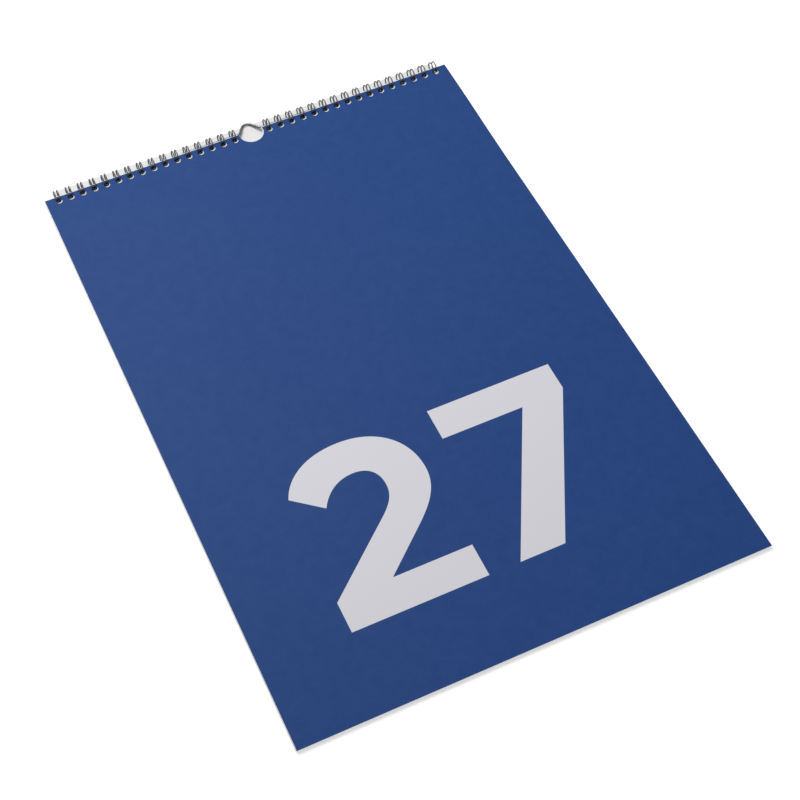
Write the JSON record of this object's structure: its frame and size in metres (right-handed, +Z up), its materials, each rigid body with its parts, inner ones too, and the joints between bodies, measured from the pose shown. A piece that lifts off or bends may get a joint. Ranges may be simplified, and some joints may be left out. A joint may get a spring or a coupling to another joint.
{
  "type": "wall calendar",
  "caption": "Large upright wall calendar lying flat: punched card cover, block of leaves and back board on twin-loop wires, with a bumped wire hanger.",
  "frame": {"origin": "middle of the object's footprint, on the surface that it lies on", "axes": "+Z up out of the cover, +Y towards the bound edge and the hanger, +X to the right along the bound edge"},
  "size_m": [0.2974, 0.4304, 0.0084],
  "materials": {
    "cover_card": "matte printed card, fine grain",
    "leaf_paper": "uncoated white paper",
    "grey_board": "plain grey board",
    "loop_wire": "dark coated steel wire, satin",
    "hanger_wire": "dark steel wire, satin"
  },
  "bodies": {
    "book": {"back_board": "grey_board", "page_block": "leaf_paper", "wire_left": "loop_wire", "wire_right": "loop_wire"},
    "cover": {"cover": "cover_card"},
    "hanger": {"hanger": "hanger_wire"}
  },
  "joints": [
    {"name": "cover_turn", "type": "hinge", "parent": "book", "child": "cover", "pos_m": [0, 0.20552, 0.00426], "axis": [-1, 0, 0], "range_deg": [0, 180]},
    {"name": "hanger_swing", "type": "hinge", "parent": "book", "child": "hanger", "pos_m": [0, 0.20653, 0.00209], "axis": [1, 0, 0], "range_deg": [-80, 99]}
  ]
}
